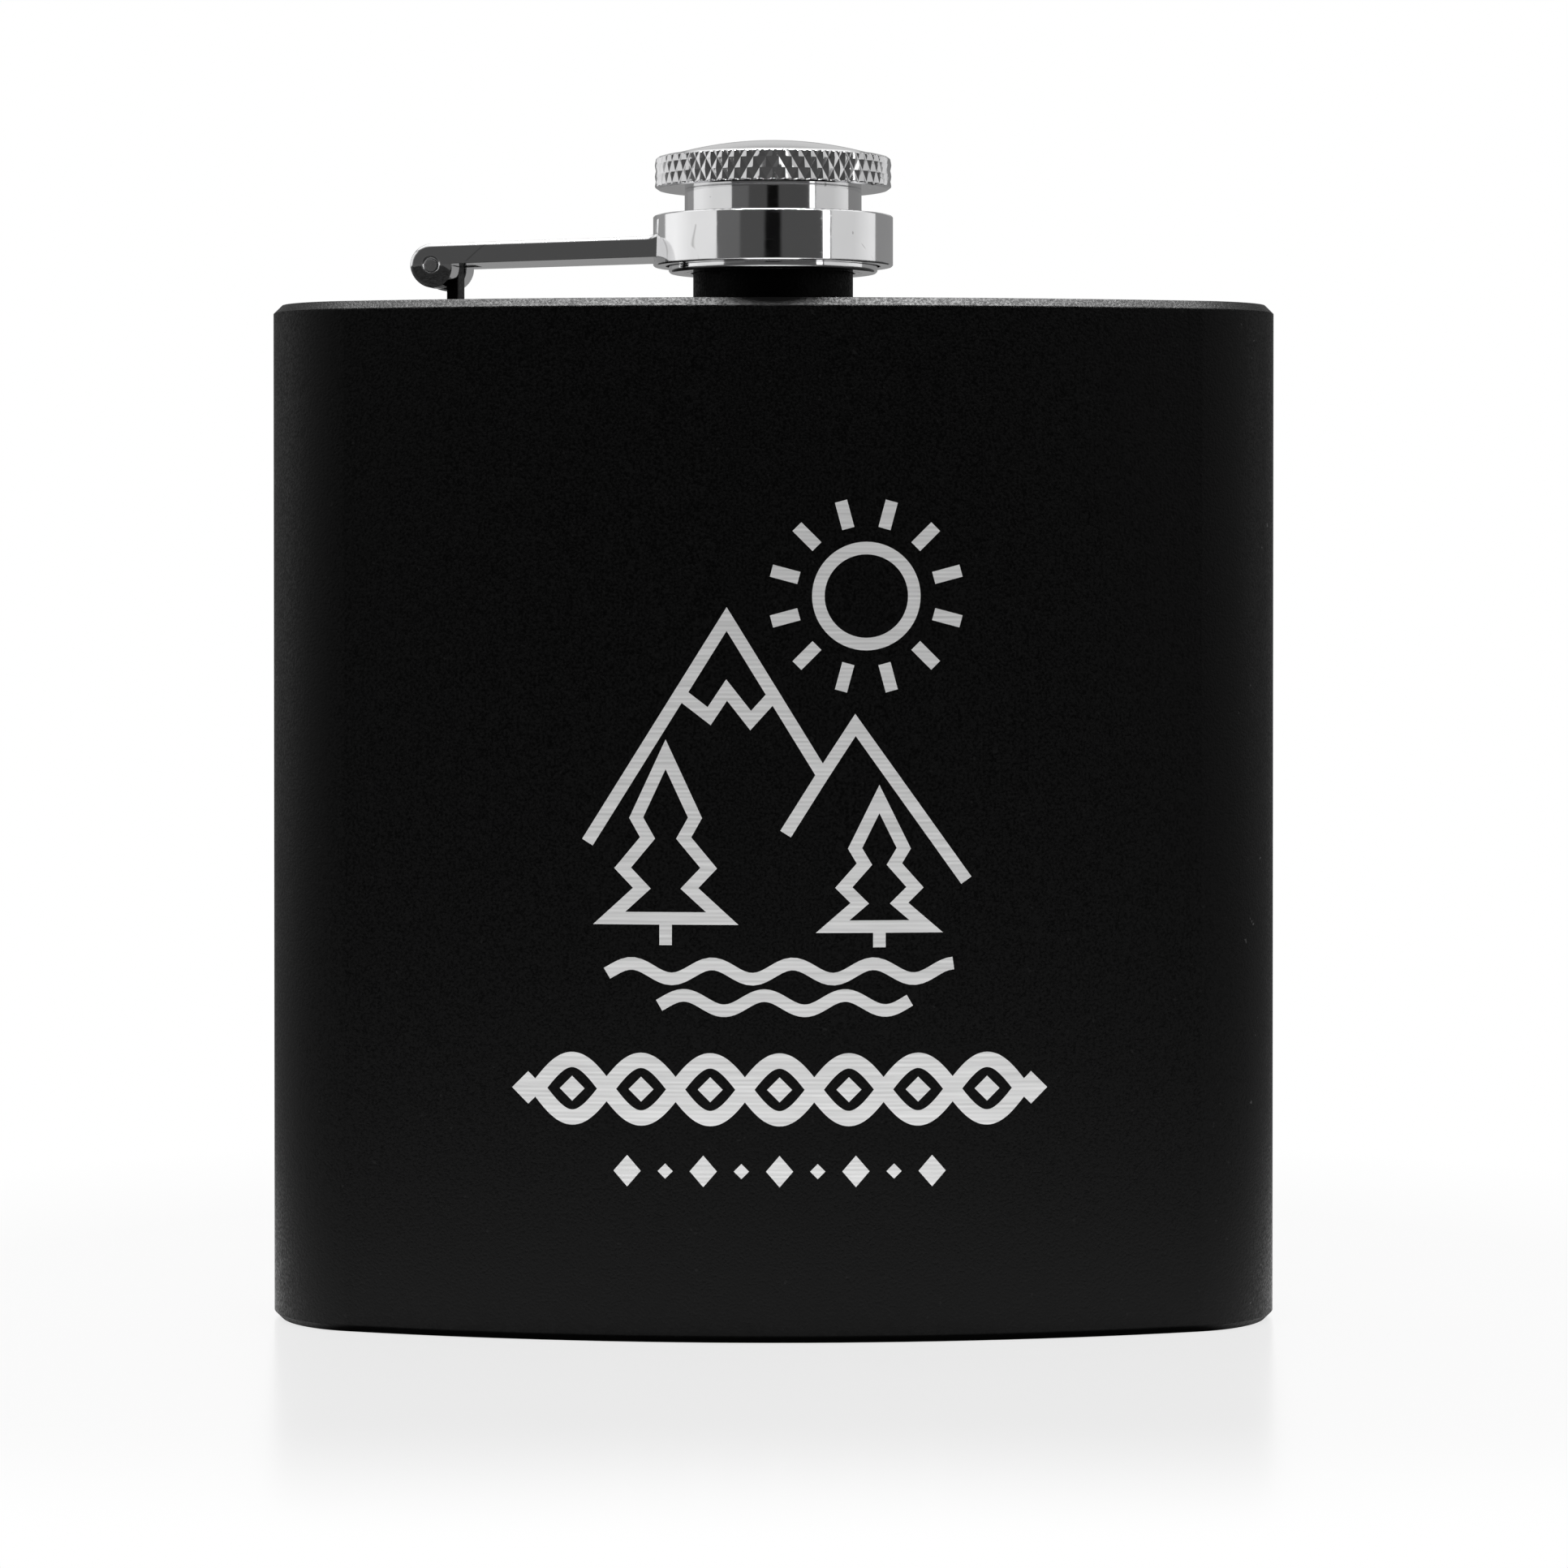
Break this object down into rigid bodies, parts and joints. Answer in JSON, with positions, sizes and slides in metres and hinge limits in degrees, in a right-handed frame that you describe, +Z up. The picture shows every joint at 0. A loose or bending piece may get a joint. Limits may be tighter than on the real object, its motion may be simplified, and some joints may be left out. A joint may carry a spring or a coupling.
{
  "type": "hip flask",
  "caption": "Curved black steel hip flask with an engraved front, a threaded neck and a knurled screw cap held captive by a hinged arm.",
  "frame": {"origin": "under the middle of the flask, on the surface that it stands on", "axes": "+Z up, the front face looks along -Y, +X to the right when it is looked at from the front; the arm's hinge is at -X"},
  "size_m": [0.095, 0.028, 0.1111],
  "materials": {
    "body_coat": "matte black powder coat on stainless steel, fine grain",
    "cap_chrome": "polished, mirror-like",
    "pin_steel": "plain turned steel",
    "liner_plastic": "soft white sealing disc"
  },
  "bodies": {
    "flask": {"body_wall": "body_coat", "top_plate": "body_coat", "base_plate": "body_coat", "neck": "body_coat", "hinge_bracket": "body_coat"},
    "arm": {"cap_arm": "cap_chrome", "hinge_pin": "pin_steel"},
    "liner": {"cap_liner": "liner_plastic"},
    "cap": {"cap_knob": "cap_chrome", "cap_barrel": "cap_chrome", "cap_retainer": "cap_chrome"}
  },
  "joints": [
    {"name": "arm_swing", "type": "hinge", "parent": "flask", "child": "arm", "pos_m": [-0.0315, 0.00238, 0.0996], "axis": [-0.1642, -0.9864, 0], "range_deg": [0, 180]},
    {"name": "cap_lift", "type": "slide", "parent": "arm", "child": "liner", "axis": [0, 0, 1], "range_m": [0, 0.00226]},
    {"name": "cap_turn", "type": "hinge", "parent": "liner", "child": "cap", "pos_m": [0, -0.00287, 0.1066], "axis": [0, 0, 1], "range_deg": [0, 540]}
  ],
  "couplings": [
    {"joint": "cap_lift", "follows": "cap_turn", "m_per_rad": 0.00023873}
  ]
}
